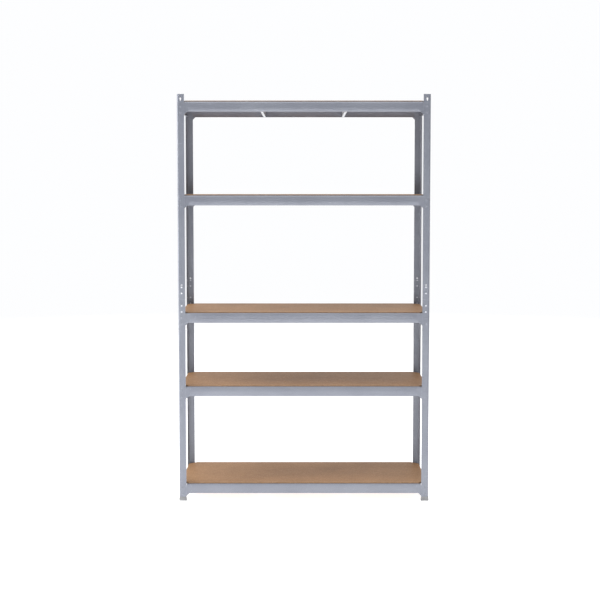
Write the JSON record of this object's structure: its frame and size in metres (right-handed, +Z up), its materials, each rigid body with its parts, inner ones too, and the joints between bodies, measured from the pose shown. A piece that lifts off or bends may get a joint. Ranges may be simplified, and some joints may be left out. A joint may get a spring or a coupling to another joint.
{
  "type": "boltless steel shelving",
  "caption": "Free-standing boltless shelving: slotted steel angle posts in spliced halves, hook-in beams, support bars, clipped-corner boards and plastic feet.",
  "frame": {"origin": "on the floor, under the centre of the unit", "axes": "+X is the width, to the right seen from the front; +Y is the depth, towards the rear; +Z is up"},
  "size_m": [1.2244, 0.4644, 1.98],
  "materials": {
    "coated_steel": "satin blue-grey powder coat",
    "zinc_steel": "bright zinc plating",
    "board": "bare pressed wood-fibre board",
    "foot_plastic": "moulded grey plastic"
  },
  "bodies": {
    "root": {"post_lower_front_left": "coated_steel", "post_upper_front_left": "coated_steel", "coupler_front_left": "coated_steel", "foot_front_left": "foot_plastic", "post_lower_front_right": "coated_steel", "post_upper_front_right": "coated_steel", "coupler_front_right": "coated_steel", "foot_front_right": "foot_plastic", "post_lower_rear_left": "coated_steel", "post_upper_rear_left": "coated_steel", "coupler_rear_left": "coated_steel", "foot_rear_left": "foot_plastic", "post_lower_rear_right": "coated_steel", "post_upper_rear_right": "coated_steel", "coupler_rear_right": "coated_steel", "foot_rear_right": "foot_plastic", "coupler_studs": "zinc_steel", "tier_1_beam_front": "coated_steel", "tier_1_beam_right": "coated_steel", "tier_1_beam_rear": "coated_steel", "tier_1_beam_left": "coated_steel", "tier_1_beam_studs": "coated_steel", "tier_1_support_bar_left": "zinc_steel", "tier_1_support_bar_right": "zinc_steel", "tier_2_beam_front": "coated_steel", "tier_2_beam_right": "coated_steel", "tier_2_beam_rear": "coated_steel", "tier_2_beam_left": "coated_steel", "tier_2_beam_studs": "coated_steel", "tier_2_support_bar_left": "zinc_steel", "tier_2_support_bar_right": "zinc_steel", "tier_3_beam_front": "coated_steel", "tier_3_beam_right": "coated_steel", "tier_3_beam_rear": "coated_steel", "tier_3_beam_left": "coated_steel", "tier_3_beam_studs": "coated_steel", "tier_3_support_bar_left": "zinc_steel", "tier_3_support_bar_right": "zinc_steel", "tier_4_beam_front": "coated_steel", "tier_4_beam_right": "coated_steel", "tier_4_beam_rear": "coated_steel", "tier_4_beam_left": "coated_steel", "tier_4_beam_studs": "coated_steel", "tier_4_support_bar_left": "zinc_steel", "tier_4_support_bar_right": "zinc_steel", "tier_5_beam_front": "coated_steel", "tier_5_beam_right": "coated_steel", "tier_5_beam_rear": "coated_steel", "tier_5_beam_left": "coated_steel", "tier_5_beam_studs": "coated_steel", "tier_5_support_bar_left": "zinc_steel", "tier_5_support_bar_right": "zinc_steel"},
    "board_1": {"tier_1_board": "board"},
    "board_2": {"tier_2_board": "board"},
    "board_3": {"tier_3_board": "board"},
    "board_4": {"tier_4_board": "board"},
    "board_5": {"tier_5_board": "board"}
  },
  "joints": [
    {"name": "board_1_lift", "type": "slide", "parent": "root", "child": "board_1", "axis": [0, 0, 1], "range_m": [0, 0.425]},
    {"name": "board_2_lift", "type": "slide", "parent": "root", "child": "board_2", "axis": [0, 0, 1], "range_m": [0, 0.305]},
    {"name": "board_3_lift", "type": "slide", "parent": "root", "child": "board_3", "axis": [0, 0, 1], "range_m": [0, 0.515]},
    {"name": "board_4_lift", "type": "slide", "parent": "root", "child": "board_4", "axis": [0, 0, 1], "range_m": [0, 0.395]},
    {"name": "board_5_lift", "type": "slide", "parent": "root", "child": "board_5", "axis": [0, 0, 1], "range_m": [0, 0.3]}
  ]
}
